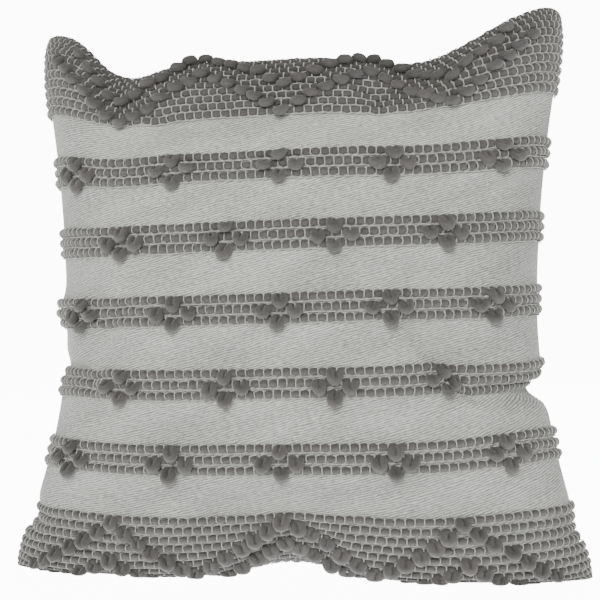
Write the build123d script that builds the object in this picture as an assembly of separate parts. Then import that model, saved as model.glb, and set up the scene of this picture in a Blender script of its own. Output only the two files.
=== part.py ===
from build123d import *
import math
import os

# Throw pillow, standing on its lower corners. Millimetres, +Z up, +X to the right seen from the front,
# the yarn-covered front towards -Y. The origin is the middle of the base, on the floor.

# cover, stuffed
seam_half_width = 178          # side seams at mid height, pulled in by the filling
lower_corner_out = 44          # how much further out the lower corners are
upper_corner_out = 20          # the same at the upper corners
corner_round = 8               # each corner's tip is drawn in this far, both ways
arch_height = 18               # middle of the lower seam above the floor
arch_reach = 0.32              # how far along the half seam the arch fades out
foot_sink = 10                 # how far the unpressed lower seam would pass below the floor
middle_lift = 10               # the filling sits high, so the middle of the cover does too
top_seam_middle = 384
top_corner_rise = 34
front_bulge = 82               # from the sewn edge to the crown of the pillow
back_bulge = 91.3
cloth = 1.6                    # woven cotton ground
edge_half = 2.1                # half the thickness of the sewn edge
seam_split = 0.5               # each panel stops this far from the seam plane

# flat cut of the front panel and its woven pattern
panel_half = 228.5             # 457 square
yarn_pitch = 6.65              # one yarn segment between two tie-down warps
row_height = 5.2
row_thick = 3.0
row_lift = 0.25                # rows lie this far above the ground cloth
stripe_pitch = 51.5
stripe_row_pitch = 7.5
stripe_count = 5
band_start = 145.5             # first row of each end band, from the middle of the panel
band_row_pitch = 7.0
band_rows = 11
row_end_margin = 7.0           # rows stop short of the side seams
cluster_period = 12 * yarn_pitch
zigzag_step = 1.5 * yarn_pitch
zigzag_rise = 6                # rows climbed between a valley and the next peak
inner_zigzag_row = 0
outer_zigzag_row = 4
loop_yarn = 2.1                # radius of the yarn in a loop
loop_radius = 3.7              # to the middle of that yarn
loop_side_step = 11.5          # side loops of a cluster from its middle

# zip in the back panel, on a cone whose axis stands far in front of the pillow
zip_height = 60
zip_radius = 640
zip_back = 62.9                # panel's outer face at the middle of the zip, behind the seam plane
zip_slope = 22                 # the cloth leans outward going up, degrees from vertical
zip_half_angle = 13.2
zip_opening = 5.6              # panel edge from the chain's middle
tape_reach = 13.0
tape_thick = 0.6
tape_depth = 5.6               # outer face of the tape below the cloth's outer face
tape_clear = 0.5               # room round the tapes
chain_gap = 0.6                # half the gap between the two coils
coil_width = 2.0
coil_thick = 1.6
stop_length = 2.4
slider_width = 8.4
slider_length = 9.5
slider_plate = 0.9
slider_clear = 0.35
web_thick = 0.5
lug_height = 2.6
lug_length = 5.0
lug_thick = 1.4
pull_length = 21
pull_width = 5.6
pull_thick = 1.1
pull_pin = 0.55

# inner cushion
insert_gap = 12                # ticking inside the cover, measured front to back
insert_edge = 9                # ticking edge inside the sewn edge of the cover
ticking = 0.5
thread = 0.5

grid_count = 31
strip_count = 33
floor_box = Box(900, 600, 900, align=(Align.CENTER, Align.CENTER, Align.MIN))


def seam_plane(a, b):
    """Place in the seam plane for the two angles that run from -90 to 90 degrees over the panel."""
    across = math.sin(a)
    up = math.sin(b)
    out = upper_corner_out if up > 0 else lower_corner_out
    share = (1 + up) / 2
    arch = (arch_height + foot_sink) * math.exp(-(across / arch_reach) ** 2)
    low = (arch - foot_sink) * (1 - share) ** 8
    ear = across**4
    high = top_seam_middle + top_corner_rise * ear * (2 - ear) * share**4
    tip = corner_round * (across * up) ** 12
    x = (seam_half_width + out * up**2) * across - math.copysign(tip, across)
    return x, low + (high - low) * share + middle_lift * (1 - up**2) - math.copysign(tip, up)


def front_point(a, b):
    x, z = seam_plane(a, b)
    return x, -edge_half - front_bulge * math.cos(a) * math.cos(b), z


def back_point(a, b):
    x, z = seam_plane(a, b)
    return x, edge_half + back_bulge * math.cos(a) * math.cos(b), z


def normal_point(place, a, b, lift):
    step = 0.01
    here = Vector(*place(a, b))
    along = Vector(*place(a + step, b)) - Vector(*place(a - step, b))
    upward = Vector(*place(a, b + step)) - Vector(*place(a, b - step))
    return here + along.cross(upward).normalized() * lift


def angle_at(flat, half_chord):
    """Angle on the quarter ellipse whose arc is the same share of the whole as flat is of the panel."""
    steps = 360
    arcs = [0]
    for i in range(steps):
        turn = math.pi / 2 * (i + 0.5) / steps
        arcs.append(arcs[-1] + math.hypot(half_chord * math.cos(turn), front_bulge * math.sin(turn)))
    wanted = abs(flat) / panel_half * arcs[-1]
    i = 0
    while i < steps - 1 and arcs[i + 1] < wanted:
        i += 1
    share = (wanted - arcs[i]) / (arcs[i + 1] - arcs[i])
    return math.copysign(math.pi / 2 * (i + share) / steps, flat)


def across_angle(flat):
    return angle_at(flat, seam_half_width)


def up_angle(flat):
    return angle_at(flat, (top_seam_middle - arch_height) / 2)


def block(outer, inner):
    """Closed solid between two grids of points that have the same layout."""
    ends = [Face.make_surface_from_array_of_points(g, tol=0.02, min_deg=3, max_deg=3) for g in (outer, inner)]
    sides = [Face.make_surface_from_curves(*pair) for pair in zip(ends[0].edges(), ends[1].edges())]
    return Solid(Shell(ends + sides))


def full_grid(place):
    turns = [math.radians(-90 + 180 * i / (grid_count - 1)) for i in range(grid_count)]
    return [[place(a, b) for a in turns] for b in turns]


def half_pillow(place, side, reach):
    """Solid from the seam plane out to the cover's face, pressed flat on the floor."""
    flat = full_grid(lambda a, b: (place(a, b)[0], side * reach, place(a, b)[2]))
    return block(full_grid(place), flat)


def shrunk(place, edge, depth):
    """The same face drawn in by edge at the seams and by depth front to back."""
    middle = (top_seam_middle + arch_height) / 2
    share = 1 - edge / seam_half_width

    def inside(a, b):
        x, y, z = place(a, b)
        drawn = y - math.copysign(depth * math.cos(a) ** 0.5 * math.cos(b) ** 0.5, y)
        return x * share, drawn, middle + (z - middle) * share

    return inside


def above(solid, height):
    return solid & (Pos(0, 0, height) * floor_box)


def panel(place, side):
    outer = above(half_pillow(place, side, seam_split), 0)
    hollow = shrunk(place, cloth, cloth)
    inner = above(half_pillow(hollow, side, -3), cloth)
    return outer - inner


def yarn_row(flat_up):
    b_low = up_angle(flat_up - row_height / 2)
    b_high = up_angle(flat_up + row_height / 2)
    a_end = across_angle(panel_half - row_end_margin)
    turns = [a_end * (2 * i / (strip_count - 1) - 1) for i in range(strip_count)]
    levels = [b_low + (b_high - b_low) * i / 3 for i in range(4)]
    outer = [[normal_point(front_point, a, b, row_lift + row_thick) for a in turns] for b in levels]
    inner = [[normal_point(front_point, a, b, row_lift) for a in turns] for b in levels]
    row = block(outer, inner)
    return above(row, row_lift) if row.bounding_box().min.Z < row_lift else row


def loop(flat_across, flat_up):
    """One raised loop of the roving, standing on its row."""
    a = across_angle(flat_across)
    b = up_angle(flat_up)
    low = normal_point(front_point, a, b, row_lift * 2 + row_thick)
    high = normal_point(front_point, a, b, row_lift * 2 + row_thick + 1)
    along = normal_point(front_point, a + 0.02, b, 0) - normal_point(front_point, a - 0.02, b, 0)
    if low.Z < loop_radius + loop_yarn + 3:
        return None
    stand = Plane(origin=low, x_dir=along, z_dir=high - low)
    ring = Plane.XY * (Pos(loop_radius, 0, 0) * Circle(loop_yarn))
    arch = Solid.revolve(ring.face(), 180, Axis((0, 0, 0), (0, -1, 0)))
    return arch.moved(stand.location)


def stripe_height(number):
    return stripe_pitch * ((stripe_count + 1) / 2 - number)


def stripe(number):
    middle = stripe_height(number)
    rows = [yarn_row(middle + i * stripe_row_pitch) for i in (1, 0, -1)]
    clusters = 5 if number % 2 else 4
    loops = []
    for i in range(clusters):
        across = (i - (clusters - 1) / 2) * cluster_period
        loops.append(loop(across, middle + stripe_row_pitch))
        loops.append(loop(across - loop_side_step, middle))
        loops.append(loop(across + loop_side_step, middle))
        loops.append(loop(across, middle - stripe_row_pitch))
    return rows, loops


def band(end):
    return [yarn_row(end * (band_start + i * band_row_pitch)) for i in range(band_rows)]


def zigzag(end, first_row):
    loops = []
    reach = int((panel_half - row_end_margin - 6) / zigzag_step)
    for i in range(-reach, reach + 1):
        climb = zigzag_rise - abs(abs(i) % (2 * zigzag_rise) - zigzag_rise)
        loops.append(loop(i * zigzag_step, end * (band_start + (first_row + climb) * band_row_pitch)))
    return loops


def cone_ring(depth_out, depth_in, up_from, up_to, angle_from, angle_to):
    """Strip of the zip: a slanted rectangle turned about the cone's axis. Angles are from straight back."""
    slope = math.radians(zip_slope)
    outward = Vector(math.cos(slope), 0, -math.sin(slope))
    upward = Vector(math.sin(slope), 0, math.cos(slope))
    middle = Vector(zip_radius, 0, zip_height)
    corners = []
    for depth, up in ((depth_in, up_from), (depth_out, up_from), (depth_out, up_to), (depth_in, up_to)):
        corners.append(middle - outward * depth + upward * up)
    section = Face(Wire.make_polygon(corners, close=True))
    ring = Solid.revolve(section, angle_to - angle_from, Axis((0, 0, 0), (0, 0, 1)))
    return Pos(0, zip_back - zip_radius, 0) * Rot(0, 0, 90 + angle_from) * ring


def degrees_along(length):
    return math.degrees(length / zip_radius)


def zip_parts():
    edge = chain_gap + coil_width
    coil_top = tape_depth - coil_thick
    parts = {}
    for name, side in (("upper", 1), ("lower", -1)):
        near, far = sorted((side * (chain_gap + 0.3), side * tape_reach))
        parts["zip_tape_" + name] = cone_ring(
            tape_depth, tape_depth + tape_thick, near, far, -zip_half_angle - 0.8, zip_half_angle + 0.8)
        near, far = sorted((side * chain_gap, side * edge))
        parts["zip_coil_" + name] = cone_ring(
            coil_top, tape_depth - 0.05, near, far, -zip_half_angle, zip_half_angle)
    stop = degrees_along(stop_length)
    ends = []
    for side in (1, -1):
        near, far = sorted((side * chain_gap, side * edge))
        ends.append(cone_ring(
            coil_top, tape_depth - 0.05, near, far, zip_half_angle + 0.05, zip_half_angle + 0.05 + stop))
    parts["zip_top_stops"] = Compound(children=ends)
    parts["zip_bottom_stop"] = cone_ring(
        coil_top, tape_depth - 0.05, -edge, edge, -zip_half_angle - 0.05 - stop, -zip_half_angle - 0.05)
    return parts


def slider():
    """Slider at the closed end, its two plates joined by a web that runs in the gap between the coils."""
    half = degrees_along(slider_length / 2)
    middle = zip_half_angle - half
    start, end = middle - half, middle + half
    top_low = tape_depth - coil_thick - slider_clear
    under_high = tape_depth + tape_thick + slider_clear
    top = cone_ring(top_low - slider_plate, top_low, -slider_width / 2, slider_width / 2, start, end)
    under = cone_ring(under_high, under_high + slider_plate, -slider_width / 2, slider_width / 2, start, end)
    web_half = degrees_along(1.2)
    web_turn = middle + degrees_along(2.5)
    web = cone_ring(top_low - 0.1, under_high + 0.1, -web_thick / 2, web_thick / 2,
                    web_turn - web_half, web_turn + web_half)
    lug_half = degrees_along(lug_length / 2)
    lug = cone_ring(top_low - slider_plate - lug_height, top_low - slider_plate + 0.1,
                    -lug_thick / 2, lug_thick / 2, middle - lug_half, middle + lug_half)
    eye = pivot_cylinder(middle, pull_pin + 0.15, 2 * lug_thick)
    return top + under + web + lug - eye


def pivot_depth():
    return tape_depth - coil_thick - slider_clear - slider_plate - lug_height + 1.2


def zip_frame(angle, depth):
    """Frame on the zip: X along the chain towards its closed end, Z straight out of the cloth."""
    slope = math.radians(zip_slope)
    turn = math.radians(angle)
    back = Vector(-math.sin(turn), math.cos(turn), 0)
    outward = back * math.cos(slope) + Vector(0, 0, -math.sin(slope))
    origin = Vector(0, zip_back - zip_radius, zip_height) + back * zip_radius - outward * depth
    along = Vector(-math.cos(turn), -math.sin(turn), 0)
    return Plane(origin=origin, x_dir=along, z_dir=outward)


def pivot_cylinder(angle, radius, length):
    frame = zip_frame(angle, pivot_depth())
    return (Rot(90, 0, 0) * Cylinder(radius, length)).moved(frame.location)


def pull():
    """Flat tab with a cross pin through the slider's lug, lying back along the closed chain."""
    middle = zip_half_angle - degrees_along(slider_length / 2)
    clear = lug_thick / 2 + 0.3
    bar = Rot(90, 0, 0) * Cylinder(pull_pin, pull_width)
    tab = Pos(-pull_length / 2 - 3.2, 0, 0) * Box(pull_length - 5, pull_width, pull_thick)
    cheeks = []
    for side in (1, -1):
        width = pull_width / 2 - clear
        cheek = Pos(-3.4, side * (clear + width / 2), 0) * Box(8, width, pull_thick)
        cheeks.append(cheek)
    return (bar + tab + cheeks[0] + cheeks[1]).moved(zip_frame(middle, pivot_depth()).location)


def split_back():
    """Back panel cut along the zip, with a slot for its chain and room for the tapes behind it."""
    whole = panel(back_point, 1)
    line = Pos(0, 0, zip_height) * floor_box
    slot = cone_ring(-30, 20, -zip_opening, zip_opening, -zip_half_angle - 1.6, zip_half_angle + 1.6)
    room = cone_ring(tape_depth - thread - tape_clear, 20, -tape_reach - tape_clear, tape_reach + tape_clear,
                     -zip_half_angle - 1.2, zip_half_angle + 1.2)
    whole = whole - slot - room
    upper = whole & line
    lower = whole - (Pos(0, 0, zip_height - 0.4) * floor_box)
    return upper, lower


def seam_ring(place, inset, width, half_thick):
    """Closed line of thread in the seam plane, a little inside the sewn edge."""
    middle = (top_seam_middle + arch_height) / 2
    turns = [math.radians(-90 + 180 * i / 16) for i in range(17)]

    def outline(shift):
        share = 1 - shift / seam_half_width
        sides = []
        for start in range(4):
            points = []
            for t in turns:
                a, b = ((t, -math.pi / 2), (math.pi / 2, t), (-t, math.pi / 2), (-math.pi / 2, -t))[start]
                x, _, z = place(a, b)
                points.append((x * share, -half_thick, middle + (z - middle) * share))
            sides.append(Spline(*points))
        return Wire(sides)

    face = Face(outline(inset), [outline(inset + width)])
    return Solid.extrude(face, Vector(0, 2 * half_thick, 0))


def insert_parts():
    parts = {}
    for name, place, side in (("front", front_point, -1), ("back", back_point, 1)):
        outer = above(half_pillow(shrunk(place, insert_edge, insert_gap), side, 0.3), 5)
        inner = above(half_pillow(shrunk(place, insert_edge + 1, insert_gap + ticking), side, -3), 5 + ticking)
        parts["insert_ticking_" + name] = outer - inner
    fills = []
    for place, side in ((front_point, -1), (back_point, 1)):
        core = half_pillow(shrunk(place, insert_edge + 2, insert_gap + ticking + 0.5), side, -0.01)
        fills.append(above(core, 6.2))
    parts["insert_filling"] = fills[0] + fills[1]
    return parts


def topstitch():
    """Two lines of thread that hold the back panel to the zip, where they lie on the tapes."""
    lines = []
    for side in (1, -1):
        near = side * (zip_opening + 2.5)
        lines.append(cone_ring(tape_depth - thread, tape_depth - 0.05, near - thread / 2, near + thread / 2,
                               -zip_half_angle - 0.6, zip_half_angle + 0.6))
    return lines


def save(name, shapes):
    solids = [s for s in shapes if s is not None]
    shape = solids[0] if len(solids) == 1 else Compound(children=solids)
    shape.label = name
    export_step(shape, "parts/" + name + ".step")


os.makedirs("parts", exist_ok=True)
save("cover_front_panel", [panel(front_point, -1)])
upper_back, lower_back = split_back()
save("cover_back_panel_upper", [upper_back])
save("cover_back_panel_lower", [lower_back])
save("cover_edge_stitching", [above(seam_ring(front_point, 4, 1.2, 0.35), 0)])
save("zip_topstitching", topstitch())
for part_name, part in zip_parts().items():
    save(part_name, [part])
save("zip_slider", [slider()])
save("zip_pull", [pull()])
for part_name, part in insert_parts().items():
    save(part_name, [part])
for stripe_number in range(1, stripe_count + 1):
    stripe_rows, stripe_loops = stripe(stripe_number)
    save("stripe_" + str(stripe_number) + "_yarn", stripe_rows)
    save("stripe_" + str(stripe_number) + "_loops", stripe_loops)
for band_name, band_end in (("top", 1), ("bottom", -1)):
    save(band_name + "_band_yarn", band(band_end))
    save(band_name + "_band_inner_loops", zigzag(band_end, inner_zigzag_row))
    save(band_name + "_band_outer_loops", zigzag(band_end, outer_zigzag_row))
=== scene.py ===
import math
import random

import bmesh
import bpy
import numpy as np
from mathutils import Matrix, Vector


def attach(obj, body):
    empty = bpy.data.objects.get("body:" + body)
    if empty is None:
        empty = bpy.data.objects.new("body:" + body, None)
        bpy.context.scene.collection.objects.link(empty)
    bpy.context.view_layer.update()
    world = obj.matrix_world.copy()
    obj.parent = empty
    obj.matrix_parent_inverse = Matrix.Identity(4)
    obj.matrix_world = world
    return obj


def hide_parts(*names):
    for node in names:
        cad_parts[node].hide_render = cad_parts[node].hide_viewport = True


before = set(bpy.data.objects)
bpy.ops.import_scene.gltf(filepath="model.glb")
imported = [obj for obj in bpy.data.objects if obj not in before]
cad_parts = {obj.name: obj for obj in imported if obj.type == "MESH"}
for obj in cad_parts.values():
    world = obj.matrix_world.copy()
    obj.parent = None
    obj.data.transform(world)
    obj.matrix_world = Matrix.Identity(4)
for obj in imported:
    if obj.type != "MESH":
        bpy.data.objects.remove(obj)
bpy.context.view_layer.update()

mm = 0.001
scene = bpy.context.scene

view = {
    "distance": 870 * mm,       # camera to the seam plane
    "turn": 5.5,                # degrees, towards the pillow's right side
    "height": 212 * mm,
    "aim": (1 * mm, 0.0, 207 * mm),
    "focal": 68.9,
}


def makeCamera():
    turn = math.radians(view["turn"])
    camera = bpy.data.cameras.new("camera")
    camera.lens = view["focal"]
    camera.clip_start = 0.01
    camObject = bpy.data.objects.new("camera", camera)
    scene.collection.objects.link(camObject)
    aim = Vector(view["aim"])
    place = aim + Vector((math.sin(turn), -math.cos(turn), 0)) * view["distance"]
    place.z = view["height"]
    look = (aim - place).to_track_quat("-Z", "Y")
    camObject.location = place
    camObject.rotation_euler = look.to_euler()
    scene.camera = camObject


lights = {
    "key": dict(place=(-0.05, -2.1, 0.9), size=1.0, watts=66),
    "fill": dict(place=(-1.2, -1.7, 0.5), size=1.4, watts=3),
    "back": dict(place=(0.2, 1.5, 1.3), size=1.4, watts=22),
}
studioWalls = {"seen": 12.0, "given": 0.3}      # brightness as seen, and as light on the object


def makeLights():
    for name, light in lights.items():
        lamp = bpy.data.lights.new(name, "AREA")
        lamp.shape = "SQUARE"
        lamp.size = light["size"]
        lamp.energy = light["watts"]
        lampObject = bpy.data.objects.new(name, lamp)
        lampObject.location = light["place"]
        aim = Vector((0, 0, 0.2)) - Vector(light["place"])
        lampObject.rotation_euler = aim.to_track_quat("-Z", "Y").to_euler()
        scene.collection.objects.link(lampObject)
    world = bpy.data.worlds.new("studio")
    world.use_nodes = True
    tree = world.node_tree
    sky = tree.nodes["Background"]
    sky.inputs["Color"].default_value = (1, 1, 1, 1)
    ray = addNode(tree, "ShaderNodeLightPath")
    strength = addNode(tree, "ShaderNodeMapRange",
                       {"To Min": studioWalls["given"], "To Max": studioWalls["seen"]},
                       {"Value": ray.outputs["Is Camera Ray"]})
    tree.links.new(strength.outputs["Result"], sky.inputs["Strength"])
    scene.world = world


def colour(hexCode):
    channels = [int(hexCode[i:i + 2], 16) / 255 for i in (1, 3, 5)]
    return [c / 12.92 if c <= 0.04045 else ((c + 0.055) / 1.055) ** 2.4 for c in channels] + [1]


def addNode(tree, kind, settings=None, links=None, stops=()):
    # one node with its settings and links and, for a colour ramp, its stops
    node = tree.nodes.new(kind)
    for name, value in (settings or {}).items():
        if isinstance(name, int) or name in node.inputs:
            node.inputs[name].default_value = value
        else:
            setattr(node, name, value)
    for i, (place, code) in enumerate(stops):
        element = node.color_ramp.elements[i] if i < 2 else node.color_ramp.elements.new(place)
        element.position = place
        element.color = colour(code)
    for name, socket in (links or {}).items():
        tree.links.new(socket, node.inputs[name])
    return node


def newMaterial(name, roughness, ior=1.45, sheen=0.0, metallic=0.0):
    material = bpy.data.materials.new(name)
    material.use_nodes = True
    shader = material.node_tree.nodes["Principled BSDF"]
    shader.inputs["Roughness"].default_value = roughness
    shader.inputs["IOR"].default_value = ior
    shader.inputs["Metallic"].default_value = metallic
    shader.inputs["Sheen Weight"].default_value = sheen
    shader.inputs["Sheen Roughness"].default_value = 0.6
    return material, material.node_tree, shader


groundYarn = {
    "grain": 4.2 * mm,          # length of one visible float
    "pick": 1.6 * mm,           # spacing of the twill lines
    "rise": 14,                 # degrees, the twill line
    "light": "#d2d4cc",
    "middle": "#9c9e97",
    "dark": "#5f615b",
    "relief": 0.4 * mm,
}


def twillMaterial():
    # hand-loomed cotton twill of mixed light and mid grey slub yarn: fine slanted lines of thread, broken
    # into short grains that are each a little lighter or darker than the next
    material, tree, shader = newMaterial("handLoomedTwill", 0.92, sheen=0.12)
    g = groundYarn
    uv = addNode(tree, "ShaderNodeUVMap", {"uv_map": "cut"})
    size = addNode(tree, "ShaderNodeVectorMath",
                   {"operation": "MULTIPLY", 1: (panel["width"], panel["height"], 0)}, {0: uv.outputs["UV"]})
    turned = addNode(tree, "ShaderNodeMapping", {"Rotation": (0, 0, -math.radians(g["rise"]))},
                     {"Vector": size.outputs["Vector"]})
    lines = addNode(tree, "ShaderNodeVectorMath",
                    {"operation": "MULTIPLY", 1: (1 / g["grain"], 1 / g["pick"], 0)},
                    {0: turned.outputs["Vector"]})
    wander = addNode(tree, "ShaderNodeTexNoise", {"Scale": 0.22, "Detail": 2.0},
                     {"Vector": lines.outputs["Vector"]})
    bent = addNode(tree, "ShaderNodeVectorMath", {"operation": "MULTIPLY_ADD", 1: (1.4, 1.4, 0)},
                   {0: wander.outputs["Color"], 2: lines.outputs["Vector"]})
    # a wave texture turns 20 radians for each unit of length, so this scale gives one line for each pick
    rib = addNode(tree, "ShaderNodeTexWave",
                  {"bands_direction": "Y", "Scale": 2 * math.pi / 20, "Distortion": 1.8, "Detail": 1.0,
                   "Detail Scale": 1.5}, {"Vector": bent.outputs["Vector"]})
    grains = addNode(tree, "ShaderNodeTexNoise", {"Scale": 1.1, "Detail": 4.0, "Roughness": 0.75},
                     {"Vector": bent.outputs["Vector"]})
    patches = addNode(tree, "ShaderNodeTexNoise", {"Scale": 0.06, "Detail": 3.0},
                      {"Vector": lines.outputs["Vector"]})
    mixed = addNode(tree, "ShaderNodeMath", {"operation": "MULTIPLY_ADD", 1: 0.4},
                    {0: rib.outputs["Fac"], 2: grains.outputs["Fac"]})
    spread = addNode(tree, "ShaderNodeMath", {"operation": "MULTIPLY_ADD", 1: 0.4},
                     {0: patches.outputs["Fac"], 2: mixed.outputs["Value"]})
    tone = addNode(tree, "ShaderNodeMapRange", {"From Min": 0.64, "From Max": 1.18},
                   {"Value": spread.outputs["Value"]})
    base = addNode(tree, "ShaderNodeValToRGB", links={"Fac": tone.outputs["Result"]},
                   stops=[(0.0, g["dark"]), (1.0, g["light"]), (0.5, g["middle"])])
    tree.links.new(base.outputs["Color"], shader.inputs["Base Color"])
    bump = addNode(tree, "ShaderNodeBump", {"Strength": 1.0, "Distance": g["relief"]},
                   {"Height": mixed.outputs["Value"]})
    tree.links.new(bump.outputs["Normal"], shader.inputs["Normal"])
    return material


rovingLook = {
    "light": "#4a4640",
    "middle": "#322f2b",
    "dark": "#1e1d1a",
    "fibre": 0.55 * mm,         # width of one visible strand of fibre
    "relief": 0.5 * mm,
}


def rovingMaterial():
    # thick loosely spun roving: soft dull strands that run along the yarn, each length its own shade of taupe
    material, tree, shader = newMaterial("looseSpunRoving", 0.95, sheen=0.12)
    look = rovingLook
    uv = addNode(tree, "ShaderNodeUVMap", {"uv_map": "along"})
    strands = addNode(tree, "ShaderNodeMapping", {"Scale": (1.5, 14, 1), "Rotation": (0, 0, 0.35)},
                      {"Vector": uv.outputs["UV"]})
    streak = addNode(tree, "ShaderNodeTexNoise", {"Scale": 1.0, "Detail": 4.0, "Roughness": 0.65},
                     {"Vector": strands.outputs["Vector"]})
    place = addNode(tree, "ShaderNodeTexCoord")
    fuzz = addNode(tree, "ShaderNodeTexNoise", {"Scale": 1 / look["fibre"], "Detail": 3.0},
                   {"Vector": place.outputs["Object"]})
    shade = addNode(tree, "ShaderNodeAttribute", {"attribute_name": "shade"})
    mixed = addNode(tree, "ShaderNodeMath", {"operation": "MULTIPLY_ADD", 1: 0.16},
                    {0: shade.outputs["Fac"], 2: streak.outputs["Fac"]})
    tone = addNode(tree, "ShaderNodeMapRange", {"From Min": 0.33, "From Max": 0.83},
                   {"Value": mixed.outputs["Value"]})
    base = addNode(tree, "ShaderNodeValToRGB", links={"Fac": tone.outputs["Result"]},
                   stops=[(0.0, look["dark"]), (1.0, look["light"]), (0.5, look["middle"])])
    tree.links.new(base.outputs["Color"], shader.inputs["Base Color"])
    height = addNode(tree, "ShaderNodeMath", {"operation": "ADD"},
                     {0: streak.outputs["Fac"], 1: fuzz.outputs["Fac"]})
    bump = addNode(tree, "ShaderNodeBump", {"Strength": 0.9, "Distance": look["relief"]},
                   {"Height": height.outputs["Value"]})
    tree.links.new(bump.outputs["Normal"], shader.inputs["Normal"])
    return material


def threadMaterial(name, light, dark, gauge):
    # spun thread: dull, with a fine twist across it
    material, tree, shader = newMaterial(name, 0.85, sheen=0.1)
    place = addNode(tree, "ShaderNodeTexCoord")
    twist = addNode(tree, "ShaderNodeTexNoise", {"Scale": 1 / gauge, "Detail": 2.0},
                    {"Vector": place.outputs["Object"]})
    base = addNode(tree, "ShaderNodeValToRGB", links={"Fac": twist.outputs["Fac"]},
                   stops=[(0.3, dark), (0.7, light)])
    tree.links.new(base.outputs["Color"], shader.inputs["Base Color"])
    bump = addNode(tree, "ShaderNodeBump", {"Strength": 0.6, "Distance": gauge / 3},
                   {"Height": twist.outputs["Fac"]})
    tree.links.new(bump.outputs["Normal"], shader.inputs["Normal"])
    return material


def wovenMaterial(name, light, dark, spacing, relief):
    # plain weave: two crossing threads show as a fine even checker
    material, tree, shader = newMaterial(name, 0.9, sheen=0.1)
    place = addNode(tree, "ShaderNodeTexCoord")
    scale = math.pi / spacing
    waves = []
    for direction in ("X", "Z"):
        waves.append(addNode(tree, "ShaderNodeTexWave", {
            "bands_direction": direction, "Scale": scale / 20, "Distortion": 1.2, "Detail": 1.0},
            {"Vector": place.outputs["Object"]}))
    weave = addNode(tree, "ShaderNodeMath", {"operation": "MULTIPLY"},
                    {0: waves[0].outputs["Fac"], 1: waves[1].outputs["Fac"]})
    base = addNode(tree, "ShaderNodeValToRGB", links={"Fac": weave.outputs["Value"]},
                   stops=[(0.0, dark), (0.8, light)])
    tree.links.new(base.outputs["Color"], shader.inputs["Base Color"])
    bump = addNode(tree, "ShaderNodeBump", {"Strength": 0.7, "Distance": relief},
                   {"Height": weave.outputs["Value"]})
    tree.links.new(bump.outputs["Normal"], shader.inputs["Normal"])
    return material


def enamelMaterial():
    # die-cast zinc with grey enamel: smooth, half gloss, faintly uneven where the enamel pooled
    material, tree, shader = newMaterial("enamelledZinc", 0.36, ior=1.5)
    place = addNode(tree, "ShaderNodeTexCoord")
    pool = addNode(tree, "ShaderNodeTexNoise", {"Scale": 1 / (3 * mm), "Detail": 2.0},
                   {"Vector": place.outputs["Object"]})
    base = addNode(tree, "ShaderNodeValToRGB", links={"Fac": pool.outputs["Fac"]},
                   stops=[(0.3, "#8a8a87"), (0.7, "#9b9b98")])
    tree.links.new(base.outputs["Color"], shader.inputs["Base Color"])
    bump = addNode(tree, "ShaderNodeBump", {"Strength": 0.25, "Distance": 0.1 * mm},
                   {"Height": pool.outputs["Fac"]})
    tree.links.new(bump.outputs["Normal"], shader.inputs["Normal"])
    return material


def coilMaterial():
    # nylon monofilament: smooth and a little shiny, with a faint haze
    material, tree, shader = newMaterial("nylonMonofilament", 0.42, ior=1.53)
    place = addNode(tree, "ShaderNodeTexCoord")
    haze = addNode(tree, "ShaderNodeTexNoise", {"Scale": 1 / (2 * mm)}, {"Vector": place.outputs["Object"]})
    base = addNode(tree, "ShaderNodeValToRGB", links={"Fac": haze.outputs["Fac"]},
                   stops=[(0.3, "#b1b1ac"), (0.7, "#c6c6c1")])
    tree.links.new(base.outputs["Color"], shader.inputs["Base Color"])
    return material


panel = {
    "width": 457 * mm,
    "height": 457 * mm,
    "cells": 96,
    "cloth": 1.5 * mm,
    "sideHalf": 178 * mm,
    "lowerOut": 44 * mm,
    "upperOut": 20 * mm,
    "cornerRound": 8 * mm,
    "arch": 9 * mm,
    "archReach": 0.32,
    "sink": 10 * mm,
    "middleLift": 10 * mm,      # the filling sits high, so the middle of the cover does too
    "tilt": 0.033,              # the right side stands a little higher than the left
    "topMiddle": 384 * mm,
    "topRise": 34 * mm,
    "edge": 0.2 * mm,
    "frontBulge": 82 * mm,
    "backBulge": 91.3 * mm,
}


# where the side seams are pushed in or pulled out: side, height, how far, and over what height
seamDents = ((1, 143 * mm, 13 * mm, 9 * mm), (1, 42 * mm, 3 * mm, 11 * mm), (-1, 44 * mm, 5 * mm, 9 * mm),
             (-1, 200 * mm, -3 * mm, 11 * mm), (-1, 158 * mm, 2 * mm, 9 * mm))


# where the top seam sags: across, how far, and over what share of the half width
topSags = ((-0.67, 13 * mm, 0.17), (0.42, 6 * mm, 0.22))


def seamPlace(across, up):
    # place in the seam plane; across and up are sines of the two turning angles, from -1 to 1
    p = panel
    share = (1 + up) / 2
    arch = (p["arch"] + p["sink"]) * np.exp(-(across / p["archReach"]) ** 2)
    low = (arch - p["sink"]) * (1 - share) ** 8
    ear = across**4
    high = p["topMiddle"] + p["topRise"] * ear * (2 - ear) * share**4
    tip = p["cornerRound"] * (across * up) ** 12
    out = np.where(up > 0, p["upperOut"], p["lowerOut"])
    x = (p["sideHalf"] + out * up**2) * across - np.sign(across) * tip
    z = low + (high - low) * share + p["middleLift"] * (1 - up**2) - np.sign(up) * tip
    z = z + p["tilt"] * x * (1 - (1 - share) ** 4)
    for place, depth, spread in topSags:
        z = z - depth * np.exp(-((across - place) / spread) ** 2) * share ** 8
    for side, height, depth, spread in seamDents:
        near = np.clip(side * across, 0, 1) ** 6
        x = x - side * depth * near * np.exp(-((z - height) / spread) ** 2)
    return x, z


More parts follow.
